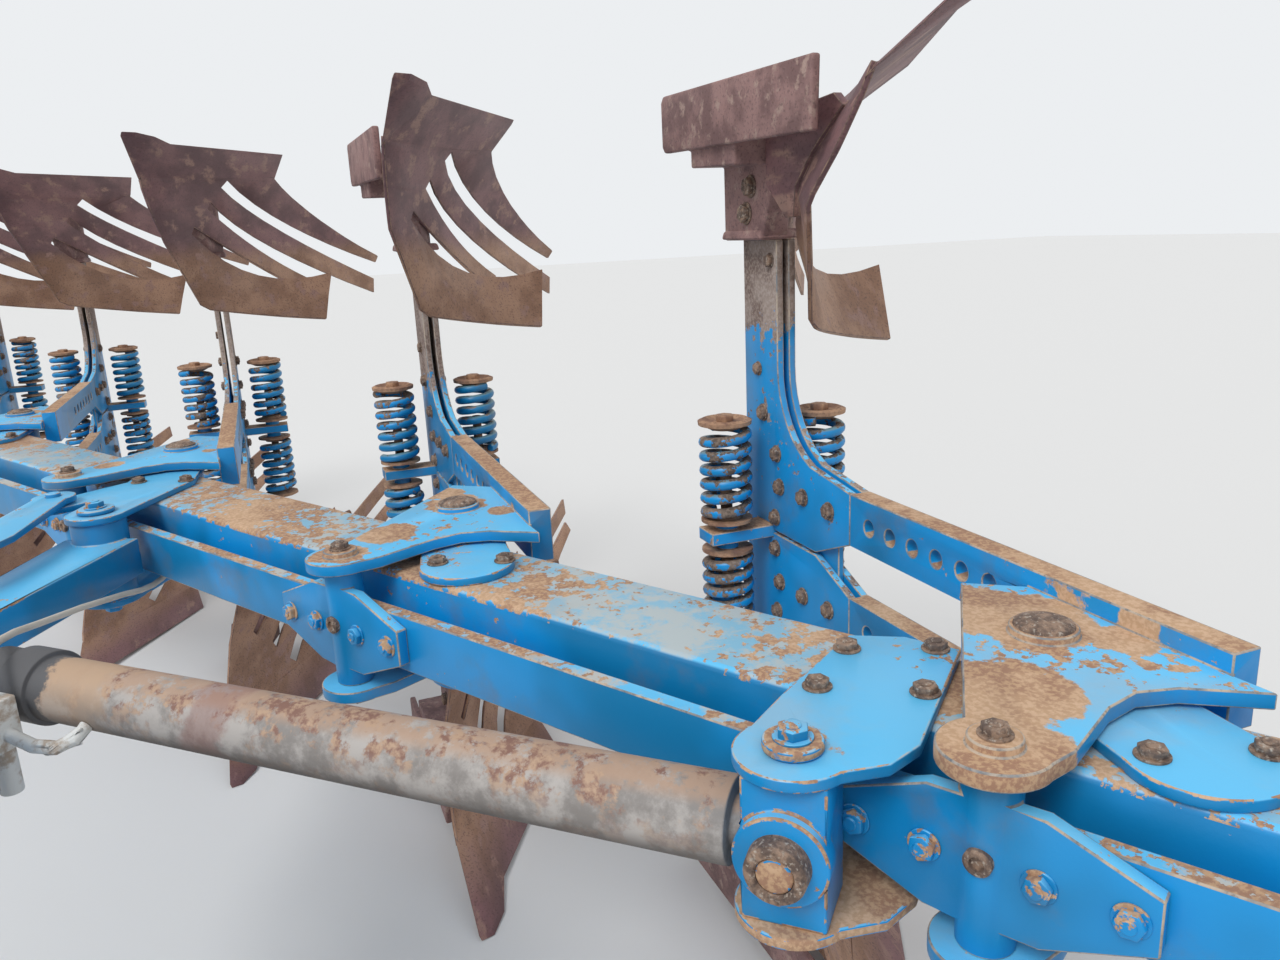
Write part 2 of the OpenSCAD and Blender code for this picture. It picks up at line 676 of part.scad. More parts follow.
module wheel_rim() {
  color(STEEL) on_beam() translate(king_at) rotate([0, 0, -beam_angle]) translate([wheel_lead, 0, -axle_z])
    rotate([90, 0, 0]) {
      rotate_extrude() polygon([[rim_d / 2 - 12, -tyre_w / 2 + 50], [rim_d / 2 + 14, -tyre_w / 2 + 50],
        [rim_d / 2 + 14, -tyre_w / 2 + 62], [rim_d / 2, -tyre_w / 2 + 70], [rim_d / 2, tyre_w / 2 - 70],
        [rim_d / 2 + 14, tyre_w / 2 - 62], [rim_d / 2 + 14, tyre_w / 2 - 50],
        [rim_d / 2 - 12, tyre_w / 2 - 50]]);
      translate([0, 0, -10]) tube(rim_d - 10, 110, 14);
      tube(140, 60 + 2 * fit, 120);
      translate([0, 0, 60]) cylinder(h = 16, d = 110);
    }
}

// Ribbed implement tyre
module tyre() {
  r = tyre_d / 2;
  w = tyre_w / 2;
  b = rim_d / 2;
  color(BLACK) on_beam() translate(king_at) rotate([0, 0, -beam_angle]) translate([wheel_lead, 0, -axle_z])
    rotate([90, 0, 0]) rotate_extrude() difference() {
      polygon([[b + 0.3, -w + 71], [b + 14.4, -w + 63], [b + 14.4, -w + 52], [b + 60, -w + 8],
        [r - 90, -w], [r - 40, -w + 12],
        [r - 12, -w + 40], [r, -w + 90], [r, w - 90], [r - 12, w - 40], [r - 40, w - 12],
        [r - 90, w], [b + 60, w - 8], [b + 14.4, w - 52], [b + 14.4, w - 63], [b + 0.3, w - 71]]);
      for (g = [-75, -25, 25, 75]) translate([r - 14, g - 6]) square([20, 12]);
    }
}

// Head that turns the beam over: plates round the front pivot, and the spindle
module turnover_head() {
  at = front_pitch * [cos(beam_angle), sin(beam_angle)];
  color(BLUE) {
    translate(at) carrier_pins();
    both_sides() translate([0, 0, crank_z]) linear_extrude(crank_t) {
      polygon([at + [-80, -20], at + [-60, 90], [head_x, at[1] + 80], [head_x, spindle_y - 150],
        at + [pin_x + 50, pin_y - 30], at + [pin_x - 50, pin_y - 30]]);
      translate(at) circle(90);
      translate(at + [pin_x, pin_y]) circle(58);
      translate(width_pin) circle(46);
      polygon([at + [-80, 0], width_pin + [-46, 0], width_pin + [30, 40], at + [60, 60]]);
    }
    translate([head_x, spindle_y - 150, -crank_z - crank_t])
      cube([40, at[1] + 80 - spindle_y + 150, 2 * crank_z + 2 * crank_t]);
    translate([head_x + 30, spindle_y, 0]) rotate([0, 90, 0]) {
      cylinder(h = housing_x - head_x - 30 - run, r = spindle_r + 40);
      cylinder(h = housing_x - head_x - 30 + housing_l + 10, r = spindle_r);
    }
    translate([housing_x + housing_l + run, spindle_y, 0]) rotate([0, 90, 0])
      cylinder(h = 22, r = spindle_r + 30);
    translate(concat(width_pin, [0])) cylinder(h = 2 * crank_z, d = 40, center = true);
  }
}

module width_barrel() {
  color(STEEL) translate(concat(width_pin, [0])) rotate([0, 0, width_dir]) {
    tube(76, 40 + 2 * fit, 60);
    translate([32, 0, 0]) rotate([0, 90, 0]) difference() {
      cylinder(h = 210, d = 72);
      translate([0, 0, 20]) cylinder(h = 210, d = 36 + 2 * fit);
    }
  }
}

module width_rod() {
  color(STEEL) translate(concat(width_pin, [0])) rotate([0, 0, width_dir]) {
    translate([110, 0, 0]) rotate([0, 90, 0]) cylinder(h = width_l - 164, d = 36);
    translate([width_l, 0, 0]) difference() {
      union() {
        cylinder(h = 23, d = 70, center = true);
        translate([-60, -18, -11.5]) cube([40, 36, 23]);
      }
      cylinder(h = 30, d = 30, center = true);
    }
  }
}

module headstock() {
  drop = half_height - hitch_h;
  color(BLUE) {
    translate([housing_x + housing_l / 2, spindle_y, 0]) rotate([0, 90, 0])
      tube(2 * spindle_r + 90, 2 * spindle_r + 2 * fit, housing_l);
    for (s = [-1, 1]) translate([0, spindle_y + s * (spindle_r + 48) + 12.5, 0]) rotate([90, 0, 0])
      linear_extrude(25) difference() {
        polygon([[housing_x + 10, 60], [housing_x + 60, 150], [housing_x + housing_l - 20, 150],
          [hitch_x + 40, 30], [hitch_x + 60, -drop + 30], [hitch_x + 30, -drop - 60],
          [hitch_x - 40, -drop - 60],
          [housing_x + 40, -120]]);
        translate([hitch_x, -drop]) circle(d = 80 + 2 * fit);
      }
    translate([housing_x + 60, spindle_y - spindle_r - 40, 130]) cube([150, 2 * spindle_r + 80, 20]);
    translate([housing_x + 90, spindle_y - spindle_r - 40, -150]) cube([150, 2 * spindle_r + 80, 20]);
    translate([stand_x, stand_y, -120]) tube(stand_d + 24, stand_d + 2 * run, 260);
    translate([stand_x - 40, stand_y + 44, -100])
      cube([80, spindle_y - spindle_r - 60 - stand_y - 44, 60]);
  }
}

module cross_shaft() {
  color(STEEL) translate([hitch_x, spindle_y, hitch_h - half_height]) rotate([90, 0, 0]) {
    cylinder(h = hitch_span, d = 80, center = true);
    cylinder(h = hitch_span + 2 * hitch_pin_l, d = hitch_pin_d, center = true);
  }
}

module parking_stand() {
  color(STEEL) translate([stand_x, stand_y, -half_height]) {
    cylinder(h = half_height + 60, d = stand_d);
    cylinder(h = 16, d = 240);
  }
}

placed() headstock();
placed() cross_shaft();
placed() parking_stand();
placed() turnover_head();
placed() width_barrel();
placed() width_rod();
placed() beam();
placed() pivot_plates();
placed() brackets();
placed() control_bar();
placed() bar_brackets();
for (k = [1 : stations]) {
  placed() carrier(k);
  placed() legs(k);
  placed() springs(k);
  placed() frogs(k);
  placed() boards(k);
}
placed() swing_knuckle();
placed() swing_barrel();
placed() port_block();
placed() hose();
placed() swing_rod();
placed() wheel_arm();
placed() wheel_link();
placed() wheel_head();
placed() wheel_leg();
placed() wheel_rim();
placed() tyre();
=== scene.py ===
import json
import math
import bpy
from mathutils import Matrix, Vector
from mathutils.bvhtree import BVHTree


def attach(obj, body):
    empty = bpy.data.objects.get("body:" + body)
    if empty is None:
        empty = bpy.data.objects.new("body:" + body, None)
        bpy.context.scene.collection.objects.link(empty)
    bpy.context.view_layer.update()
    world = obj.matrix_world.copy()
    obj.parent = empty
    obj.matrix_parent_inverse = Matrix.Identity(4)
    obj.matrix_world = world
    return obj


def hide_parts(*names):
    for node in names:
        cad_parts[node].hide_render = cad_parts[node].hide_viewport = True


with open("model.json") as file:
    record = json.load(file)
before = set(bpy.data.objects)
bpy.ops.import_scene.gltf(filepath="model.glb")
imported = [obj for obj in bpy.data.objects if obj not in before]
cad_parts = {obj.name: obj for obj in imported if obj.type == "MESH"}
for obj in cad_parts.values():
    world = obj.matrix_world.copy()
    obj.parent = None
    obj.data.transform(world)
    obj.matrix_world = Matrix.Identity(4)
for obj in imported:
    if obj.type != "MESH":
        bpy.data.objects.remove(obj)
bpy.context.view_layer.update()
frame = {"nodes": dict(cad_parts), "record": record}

# A reversible plough: its solids with worn paint and rust, and the small parts that they leave out

NODES = frame["nodes"]
BODY = {node: body for body, nodes in frame["record"]["behaviour"]["bodies"].items() for node in nodes}

# The first body's pivot, at the middle of the beam, in metres
PIVOT = Vector((2.174626, 0.877176, 0.927))
BEAM_TURN = math.radians(30)
PITCH = 1.1
STATIONS = (1, 2, 3, 4, 5)
UP = Vector((0, 0, 1))
TO_RIGHT = Vector((0, -1, 0))
AHEAD = Vector((1, 0, 0))

# Heights above the middle of the beam and places across a leg, in mm
PLATE_TOP = 99
CRANK_TOP = 124
CRANK_SEAT = CRANK_TOP + 10
LEG_SIDE = 95
LEG_WIDTH = 42
LEG_MID = 116
FROG_SIDE = 60

# A bar bracket's middle along the beam and the control bar's outer face, in mm
BAR_MID = 44
BAR_FACE = -319.2

# The swing cylinder's pin, the wheel arm's pin and the axle, in mm along and square to the beam
CYLINDER_PIN = (-137, -377)
ARM_PIN = (358 - 2200, -368)
ARM_LENGTH = 700
ARM_TURN = math.radians(-53.5)
WHEEL_LEAD = 338 + 302.3
AXLE_DROP = 447

# The turnover spindle's front face, in mm ahead of and to the left of the first pivot
SPINDLE_FACE = (1242.5, 200)

# Trip springs: their distance behind the pivot, to each side of the leg and from the beam's middle, in mm
SPRING_BACK = 905
SPRING_SIDE = 112
SPRING_FOOT = 30

# Surfaces already searched for bolt seats, by node
SURFACES = {}


def from_pivot(x, y, z, k=1):
    """A place in mm from body pivot k: ahead, to the left, above the middle of the beam."""
    back = (k - 1) * PITCH
    return PIVOT + Vector((x / 1000 - back * math.cos(BEAM_TURN), y / 1000 - back * math.sin(BEAM_TURN),
                           z / 1000))


def on_beam(along, across, z, k=1):
    """A place in mm from body pivot k, along the beam and square to it."""
    c, s = math.cos(BEAM_TURN), math.sin(BEAM_TURN)
    return from_pivot(along * c - across * s, along * s + across * c, z, k)


OUTWARD = Vector((math.sin(BEAM_TURN), -math.cos(BEAM_TURN), 0))
CYLINDER_TURN = math.radians(196.518)
CYLINDER_HEADING = CYLINDER_TURN + BEAM_TURN
KNUCKLE_SIDE = Vector((-math.sin(CYLINDER_HEADING), math.cos(CYLINDER_HEADING), 0))
KNUCKLE_PIN = on_beam(*CYLINDER_PIN, 0) + 0.082 * KNUCKLE_SIDE


def axle_place():
    """The middle of the wheel, ahead of the wheel arm's outer end and below it."""
    along = ARM_PIN[0] + ARM_LENGTH * math.cos(ARM_TURN)
    across = ARM_PIN[1] + ARM_LENGTH * math.sin(ARM_TURN)
    return on_beam(along, across, -AXLE_DROP) + WHEEL_LEAD / 1000 * AHEAD


# Camera, where the photo was taken from

def stand_camera():
    """The photo's viewpoint, above the headstock and looking back along the plough."""
    yaw, pitch, roll = math.radians(20.48), math.radians(14.48), math.radians(-2.67)
    look = Vector((-math.cos(yaw) * math.cos(pitch), math.sin(yaw) * math.cos(pitch), -math.sin(pitch)))
    level = Vector((math.sin(yaw), math.cos(yaw), 0))
    over = level.cross(look)
    right = math.cos(roll) * level + math.sin(roll) * over
    top = -math.sin(roll) * level + math.cos(roll) * over
    bpy.ops.object.camera_add()
    camera = bpy.context.active_object
    turn = Matrix((right, top, -look)).transposed().to_4x4()
    camera.matrix_world = Matrix.Translation(from_pivot(876, -853, 633)) @ turn
    camera.data.sensor_width = 36
    camera.data.lens = 27.37
    camera.data.clip_start = 0.01
    bpy.context.scene.camera = camera


# Handling of pieces

def deselect():
    if bpy.context.mode != "OBJECT":
        bpy.ops.object.mode_set(mode="OBJECT")
    bpy.ops.object.select_all(action="DESELECT")


def pick(*pieces):
    deselect()
    for piece in pieces:
        piece.select_set(True)
    bpy.context.view_layer.objects.active = pieces[-1]


def join(pieces, name):
    pick(*pieces)
    if len(pieces) > 1:
        bpy.ops.object.join()
    piece = bpy.context.active_object
    piece.name = name
    bpy.ops.object.transform_apply(location=True, rotation=True, scale=True)
    return piece


def ease_edges(piece, width, segments=2, limit=40, slot=-1):
    pick(piece)
    bevel = piece.modifiers.new("eased", "BEVEL")
    bevel.width = width
    bevel.segments = segments
    bevel.limit_method = "ANGLE"
    bevel.angle_limit = math.radians(limit)
    bevel.use_clamp_overlap = False
    bevel.material = slot
    bpy.ops.object.modifier_apply(modifier=bevel.name)


def smooth(piece, angle=35):
    pick(piece)
    bpy.ops.object.shade_smooth_by_angle(angle=math.radians(angle))


def face_outward(piece):
    """Turn all faces of a closed piece the same way, outward."""
    pick(piece)
    bpy.ops.object.mode_set(mode="EDIT")
    bpy.ops.mesh.select_all(action="SELECT")
    bpy.ops.mesh.normals_make_consistent(inside=False)
    bpy.ops.object.mode_set(mode="OBJECT")


def paint(piece, *materials):
    piece.data.materials.clear()
    for material in materials:
        piece.data.materials.append(material)


def rod(a, b, radius, sides):
    """A round bar between two places."""
    way = b - a
    bpy.ops.mesh.primitive_cylinder_add(vertices=sides, radius=radius, depth=way.length)
    piece = bpy.context.active_object
    piece.name = "rod"
    piece.matrix_world = Matrix.Translation((a + b) / 2) @ way.to_track_quat("Z", "Y").to_matrix().to_4x4()
    return piece


def placed_copy(piece, place, way, spin=0.0):
    copy = piece.copy()
    copy.data = piece.data.copy()
    bpy.context.scene.collection.objects.link(copy)
    turn = way.to_track_quat("Z", "Y").to_matrix().to_4x4() @ Matrix.Rotation(spin, 4, "Z")
    copy.matrix_world = Matrix.Translation(place) @ turn
    return copy


def fit(piece, body):
    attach(piece, body)
    return piece


def dress(node, width, material, worn, angle=35, segments=2):
    """The solid with its edges eased and worn bare, in place of the plain one."""
    piece = bpy.data.objects.new(node + "_finished", NODES[node].data.copy())
    bpy.context.scene.collection.objects.link(piece)
    paint(piece, material, worn)
    pick(piece)
    bpy.ops.object.mode_set(mode="EDIT")
    bpy.ops.mesh.select_all(action="SELECT")
    bpy.ops.mesh.remove_doubles(threshold=0.00003)
    bpy.ops.mesh.dissolve_limited(angle_limit=math.radians(1))
    bpy.ops.object.mode_set(mode="OBJECT")
    if width:
        ease_edges(piece, width, segments=segments, slot=1)
    smooth(piece, angle)
    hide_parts(node)
    return fit(piece, BODY[node])


# Finishes

class Finish:
    """One material, laid up in coats over the piece's own coordinates."""

    def __init__(self, name):
        self.material = bpy.data.materials.new(name)
        self.material.use_nodes = True
        self.nodes = self.material.node_tree.nodes
        self.links = self.material.node_tree.links
        self.shader = self.nodes["Principled BSDF"]
        coordinates = self.nodes.new("ShaderNodeTexCoord")
        self.place = coordinates.outputs["Object"]
        self.facing = self.part(coordinates.outputs["Normal"], "Z")
        self.height = self.part(self.place, "Z")

    def plug(self, value, socket):
        if isinstance(value, bpy.types.NodeSocket):
            self.links.new(value, socket)
        elif isinstance(value, (tuple, list)):
            socket.default_value = tuple(value) + (1,) * (len(socket.default_value) - len(value))
        else:
            socket.default_value = value

    def part(self, vector, axis):
        node = self.nodes.new("ShaderNodeSeparateXYZ")
        self.plug(vector, node.inputs[0])
        return node.outputs[axis]

    def math(self, what, a, b=0.0):
        node = self.nodes.new("ShaderNodeMath")
        node.operation = what
        self.plug(a, node.inputs[0])
        self.plug(b, node.inputs[1])
        return node.outputs[0]

    def times(self, value, *others):
        for other in others:
            value = self.math("MULTIPLY", value, other)
        return value

    def plus(self, a, b):
        return self.math("ADD", a, b)

    def from_middle(self):
        """How far up or down a point lies from the middle of the beam."""
        return self.math("ABSOLUTE", self.math("SUBTRACT", self.height, PIVOT.z))

    def ragged(self, scale, depth):
        """An uneven offset about 0, for the outline of a bare patch."""
        return self.times(self.math("SUBTRACT", self.grain(scale, 6, 0.65), 0.5), depth)

    def grain(self, scale, detail=4.0, rough=0.6, stretch=None):
        node = self.nodes.new("ShaderNodeTexNoise")
        node.inputs["Scale"].default_value = scale
        node.inputs["Detail"].default_value = detail
        node.inputs["Roughness"].default_value = rough
        place = self.place
        if stretch:
            mapping = self.nodes.new("ShaderNodeMapping")
            mapping.inputs["Rotation"].default_value = stretch[0]
            mapping.inputs["Scale"].default_value = stretch[1]
            self.plug(place, mapping.inputs["Vector"])
            place = mapping.outputs[0]
        self.plug(place, node.inputs["Vector"])
        return node.outputs["Fac"]

    def step(self, value, low, high):
        node = self.nodes.new("ShaderNodeMapRange")
        node.interpolation_type = "SMOOTHSTEP"
        self.plug(value, node.inputs["Value"])
        self.plug(low, node.inputs["From Min"])
        self.plug(high, node.inputs["From Max"])
        return node.outputs["Result"]

    def coat(self, amount, under, over):
        node = self.nodes.new("ShaderNodeMix")
        node.data_type = "RGBA"
        self.plug(amount, node.inputs[0])
        self.plug(under, node.inputs[6])
        self.plug(over, node.inputs[7])
        return node.outputs[2]

    def near(self, spots, ragged):
        """1 inside ragged rings round the given places, 0 outside."""
        best = None
        for place, radius in spots:
            node = self.nodes.new("ShaderNodeVectorMath")
            node.operation = "DISTANCE"
            self.plug(self.place, node.inputs[0])
            node.inputs[1].default_value = place
            size = self.math("DIVIDE", node.outputs["Value"], radius)
            one = self.step(self.plus(size, ragged), 1.04, 0.94)
            best = one if best is None else self.math("MAXIMUM", best, one)
        return best

    def done(self, colour, rough, relief, depth=0.001):
        self.plug(colour, self.shader.inputs["Base Color"])
        self.plug(rough, self.shader.inputs["Roughness"])
        bump = self.nodes.new("ShaderNodeBump")
        bump.inputs["Strength"].default_value = 0.6
        bump.inputs["Distance"].default_value = depth
        self.plug(relief, bump.inputs["Height"])
        self.links.new(bump.outputs[0], self.shader.inputs["Normal"])
        return self.material


DEEP_BLUE = (0.003, 0.19, 0.42)
CLEAR_BLUE = (0.003, 0.29, 0.68)
# Paler blue for upward faces: faded paint with painted sky light
SKYLIT_PALE_BLUE = (0.13, 0.56, 0.90)
CHALK = (0.50, 0.50, 0.46)
DUST = (0.42, 0.38, 0.33)
TAN = (0.50, 0.32, 0.19)
BRICK = (0.34, 0.19, 0.12)
MUD = (0.17, 0.14, 0.11)
GREY_RUST = (0.30, 0.235, 0.20)
BROWN_RUST = (0.17, 0.115, 0.095)

# Bare patches on a crank plate: ahead and to the left of its pivot in mm, radius in metres
CRANK_SPOTS = ((-40, 5, 0.095), (-130, -10, 0.07), (105, -150, 0.085), (186, -234, 0.075), (60, 70, 0.045))


def weathered_paint(name, top_wear, side_wear, chalk=0.0, spots=(), bare_from=None, top=SKYLIT_PALE_BLUE,
                    ledges=0.0, iron=(TAN, BRICK)):
    """Blue paint: pale where it faces the sky, from faded paint and from painted sky light, flaked to rust,
    with a film of dirt on the sides.

    bare_from is the distance from the beam's middle where the paint ends, ledges the wear on the
    bars' tops above and below the crank plates.
    """
    f = Finish(name)
    up = f.step(f.facing, 0.45, 0.85)
    broad = f.grain(2.6, 3)
    fine = f.grain(46, 5, 0.62)
    specks = f.grain(150, 3)
    colour = f.coat(f.step(broad, 0.38, 0.62), DEEP_BLUE, CLEAR_BLUE)
    film = f.times(f.step(f.grain(7, 6, 0.6), 0.5, 0.72), 0.4)
    colour = f.coat(film, colour, MUD)
    # Upward faces paler: faded paint and painted sky light on the tops
    colour = f.coat(f.times(up, 0.9), colour, top)
    if chalk:
        chalky = f.times(up, f.step(f.grain(11, 6, 0.7), 0.44, 0.56), chalk)
        colour = f.coat(chalky, colour, CHALK)
    dust = f.times(up, f.step(f.grain(5, 5), 0.48, 0.7), 0.35)
    colour = f.coat(dust, colour, DUST)
    mixed = f.plus(f.times(fine, 0.55), f.times(broad, 0.45))
    wear = f.plus(f.times(up, top_wear - side_wear), side_wear)
    if bare_from:
        away = f.from_middle()
        wear = f.plus(wear, f.times(f.step(away, bare_from, bare_from + 0.17), 1.3))
    if ledges:
        # The crank plates lie between these heights, the bars above and below them
        away = f.from_middle()
        off_plate = f.math("MAXIMUM", f.step(away, 0.136, 0.142), f.step(away, 0.098, 0.092))
        wear = f.plus(wear, f.times(up, off_plate, ledges))
    limit = f.math("SUBTRACT", 0.66, f.times(wear, 0.18))
    flaked = f.step(mixed, limit, f.plus(limit, 0.015))
    if spots:
        flaked = f.math("MAXIMUM", flaked, f.near(spots, f.ragged(16, 1.6)))
    rust = f.coat(f.step(specks, 0.42, 0.6), iron[1], iron[0])
    pale = tuple(1.1 * c + 0.06 for c in iron[0])
    rust = f.coat(f.step(f.grain(8, 3), 0.45, 0.6), rust, f.coat(f.step(specks, 0.4, 0.62), iron[0], pale))
    colour = f.coat(flaked, colour, rust)
    rough = f.plus(0.38, f.times(flaked, 0.45))
    relief = f.plus(f.times(flaked, -0.6), f.times(specks, 0.4))
    return f.done(colour, rough, relief, 0.0008)


def rusted(name, light, dark, bright=None, scale=9, stretch=None, tan_below=None, rough=0.75):
    """Bare iron gone brown, polished paler where the soil runs.

    tan_below is the distance from the beam's middle up to which the iron is sandy.
    """
    f = Finish(name)
    patches = f.grain(scale, 6, 0.62, stretch)
    specks = f.grain(170, 4)
    colour = f.coat(f.step(patches, 0.38, 0.62), dark, light)
    if tan_below:
        # Sandy nearer the beam, and further out on the bodies below it
        away = f.plus(f.from_middle(), f.times(patches, 0.12))
        away = f.math("SUBTRACT", away, f.times(f.math("LESS_THAN", f.height, PIVOT.z), 0.25))
        sandy = f.coat(f.step(patches, 0.4, 0.62), (0.27, 0.14, 0.082), (0.42, 0.24, 0.15))
        colour = f.coat(f.step(away, tan_below + 0.04, tan_below + 0.12), sandy, colour)
    if bright:
        colour = f.coat(f.step(f.grain(scale * 3, 5, 0.6, stretch), 0.54, 0.68), colour, bright)
    darkest = tuple(0.45 * c for c in dark)
    colour = f.coat(f.times(f.step(specks, 0.52, 0.66), 0.5), colour, darkest)
    relief = f.plus(f.times(specks, 0.5), patches)
    return f.done(colour, f.math("SUBTRACT", rough + 0.1, f.times(patches, 0.25)), relief, 0.0012)


def bare_metal(name, colour, stain, rough, metallic):
    """Steel or cast grey with darker stains."""
    f = Finish(name)
    f.shader.inputs["Metallic"].default_value = metallic
    patches = f.grain(24, 6, 0.65)
    mixed = f.coat(f.step(patches, 0.46, 0.62), colour, stain)
    return f.done(mixed, f.plus(rough, f.times(patches, 0.3)), f.grain(220, 3), 0.0004)


def barrel_finish():
    """Grey paint worn through in bands along the cylinder, with a dark gland end and painted shade on its
    underside.
    """
    f = Finish("cylinder_skin")
    start = on_beam(*CYLINDER_PIN, 0)
    along_node = f.nodes.new("ShaderNodeVectorMath")
    along_node.operation = "DOT_PRODUCT"
    f.plug(f.place, along_node.inputs[0])
    direction = Vector((math.cos(CYLINDER_HEADING), math.sin(CYLINDER_HEADING), 0))
    along_node.inputs[1].default_value = direction
    from_pin = f.math("SUBTRACT", along_node.outputs["Value"], start.dot(direction))
    along = f.plus(from_pin, f.ragged(14, 0.16))
    up = f.step(f.facing, -0.1, 0.9)
    patches = f.grain(13, 7, 0.68)
    colour = f.coat(f.step(patches, 0.4, 0.6), (0.24, 0.22, 0.205), (0.44, 0.41, 0.385))
    crest = f.times(f.step(f.facing, 0.62, 0.9), f.step(f.grain(30, 6, 0.7), 0.36, 0.5))
    colour = f.coat(f.times(crest, 0.85), colour, (0.44, 0.29, 0.20))
    brown = f.coat(f.step(f.grain(60, 4), 0.4, 0.6), (0.23, 0.12, 0.09), (0.46, 0.31, 0.21))
    stains = f.step(f.grain(21, 7, 0.7), 0.5, 0.6)
    colour = f.coat(f.times(stains, f.plus(0.35, up)), colour, brown)
    red = f.times(f.step(along, 0.74, 0.77), f.step(along, 0.86, 0.82))
    colour = f.coat(f.times(red, 0.55), colour, (0.27, 0.14, 0.12))
    sandy = f.plus(0.45, f.times(up, 0.5))
    colour = f.coat(f.times(f.step(along, 0.97, 1.01), sandy), colour, (0.48, 0.33, 0.22))
    colour = f.coat(f.step(along, 1.095, 1.11), colour, (0.10, 0.10, 0.105))
    # Painted shade: the faces turned downward darkened
    low = f.step(f.facing, 0.0, -0.7)
    colour = f.coat(f.times(low, 0.75), colour, (0.09, 0.075, 0.065))
    return f.done(colour, f.plus(0.5, f.times(patches, 0.3)), f.grain(120, 4), 0.0006)


def rubber(name, colour, dust):
    """Dull rubber with dust lying on it in patches."""
    f = Finish(name)
    patches = f.grain(10, 6, 0.6)
    mixed = f.coat(f.times(f.step(patches, 0.4, 0.75), 0.3), colour, dust)
    return f.done(mixed, f.plus(0.65, f.times(patches, 0.25)), f.grain(260, 3), 0.0005)


def finishes():
    """Every finish of the plough, by the name that the pieces below call it."""
    knuckle_spots = [(place, 0.036) for place in (on_beam(*CYLINDER_PIN, 105), on_beam(*CYLINDER_PIN, -105),
                                                  KNUCKLE_PIN)]
    made = {
        # top colour: upward faces, faded paint and painted sky light
        "beam": weathered_paint("beam_paint", 0.95, 0.12, chalk=0.75, top=(0.24, 0.50, 0.66)),
        "plates": weathered_paint("plate_paint", 0.28, 0.1, spots=[(on_beam(-60, -330, -PLATE_TOP), 0.17)]),
        "bar": weathered_paint("bar_paint", 0.95, 0.08, chalk=1.0),
        "frame": weathered_paint("frame_paint", 0.45, 0.12),
        "knuckle": weathered_paint("knuckle_paint", 0.45, 0.15, spots=knuckle_spots),
        "leg": weathered_paint("leg_paint", 0.8, 0.15, bare_from=0.33, iron=(GREY_RUST, BROWN_RUST)),
        "far_leg": weathered_paint("far_leg_paint", 0.9, 0.45, bare_from=0.17, iron=(GREY_RUST, BROWN_RUST)),
        # top colour: upward faces of the coil, worn paint and painted sky light
        "coil": weathered_paint("coil_paint", 1.0, 0.62, top=(0.16, 0.30, 0.33),
                                iron=((0.22, 0.16, 0.12), (0.10, 0.075, 0.06))),
        "cap": rusted("cap_rust", (0.46, 0.27, 0.16), (0.26, 0.14, 0.09), scale=30),
        "edge": rusted("worn_edge", (0.52, 0.42, 0.32), (0.20, 0.22, 0.24), scale=22),
        "blue_edge": weathered_paint("chipped_edge", 1.0, 0.75, chalk=0.8),
        "board": rusted("soil_worn_board", (0.24, 0.115, 0.115), (0.13, 0.062, 0.066), (0.33, 0.19, 0.15), 7,
                        ((0, 0.5, -0.45), (0.25, 1, 1)), tan_below=0.60, rough=0.62),
        "board_edge": rusted("board_edge", (0.33, 0.21, 0.15), (0.13, 0.08, 0.07), scale=30),
        "frog": rusted("frog_iron", (0.31, 0.18, 0.165), (0.18, 0.10, 0.095), (0.38, 0.26, 0.22), 12),
        "bolt": rusted("bolt_rust", (0.30, 0.20, 0.14), (0.11, 0.075, 0.06), (0.42, 0.36, 0.30), 60),
        "blue_bolt": weathered_paint("painted_bolt", 0.9, 0.75),
        "shaft": bare_metal("shaft_steel", (0.42, 0.41, 0.39), (0.24, 0.16, 0.12), 0.32, 0.8),
        "barrel": barrel_finish(),
        "port": bare_metal("port_grey", (0.72, 0.73, 0.71), (0.42, 0.34, 0.27), 0.45, 0.0),
        "hose": rubber("hose_cover", (0.62, 0.57, 0.49), (0.36, 0.31, 0.26)),
        "tyre": rubber("tyre_rubber", (0.028, 0.028, 0.030), (0.16, 0.135, 0.11)),
        "rim": weathered_paint("rim_paint", 0.6, 0.35),
    }
    for k in STATIONS:
        # The first crank plate is worn most, the others each to a share of it
        share = 1.0 if k == 1 else 0.35 + 0.08 * ((k * 7) % 5)
        spots = [(from_pivot(x, y, CRANK_TOP, k), radius * share) for x, y, radius in CRANK_SPOTS]
        made["carrier_%d" % k] = weathered_paint("crank_paint_%d" % k, 0.42, 0.1, ledges=1.5, spots=spots)
    return made


# Fasteners

def hex_bolt(name, across, head, washer, thick, stud=0.0):
    """A hexagon head or nut on its washer, standing on the floor of the drawing."""
    bpy.ops.mesh.primitive_cylinder_add(vertices=28, radius=washer / 2, depth=thick,
                                        location=(0, 0, thick / 2))
    disc = bpy.context.active_object
    ease_edges(disc, 0.0006, 1)
    bpy.ops.mesh.primitive_cylinder_add(vertices=6, radius=across / math.sqrt(3), depth=head,
                                        location=(0, 0, thick + head / 2))
    hexagon = bpy.context.active_object
    pick(hexagon)
    bpy.ops.object.mode_set(mode="EDIT")
    bpy.ops.mesh.select_all(action="DESELECT")
    bpy.ops.object.mode_set(mode="OBJECT")
    for face in hexagon.data.polygons:
        face.select = face.normal.z > 0.9
    bpy.ops.object.mode_set(mode="EDIT")
    bpy.ops.mesh.inset(thickness=across * 0.07, depth=head * 0.12)
    bpy.ops.object.mode_set(mode="OBJECT")
    ease_edges(hexagon, 0.0009, 2, limit=30)
    parts = [disc, hexagon]
    if stud:
        end = rod(Vector((0, 0, thick)), Vector((0, 0, thick + head + stud)), across * 0.3, 16)
        ease_edges(end, 0.001, 1)
        parts.append(end)
    piece = join(parts, name)
    smooth(piece, 30)
    return piece


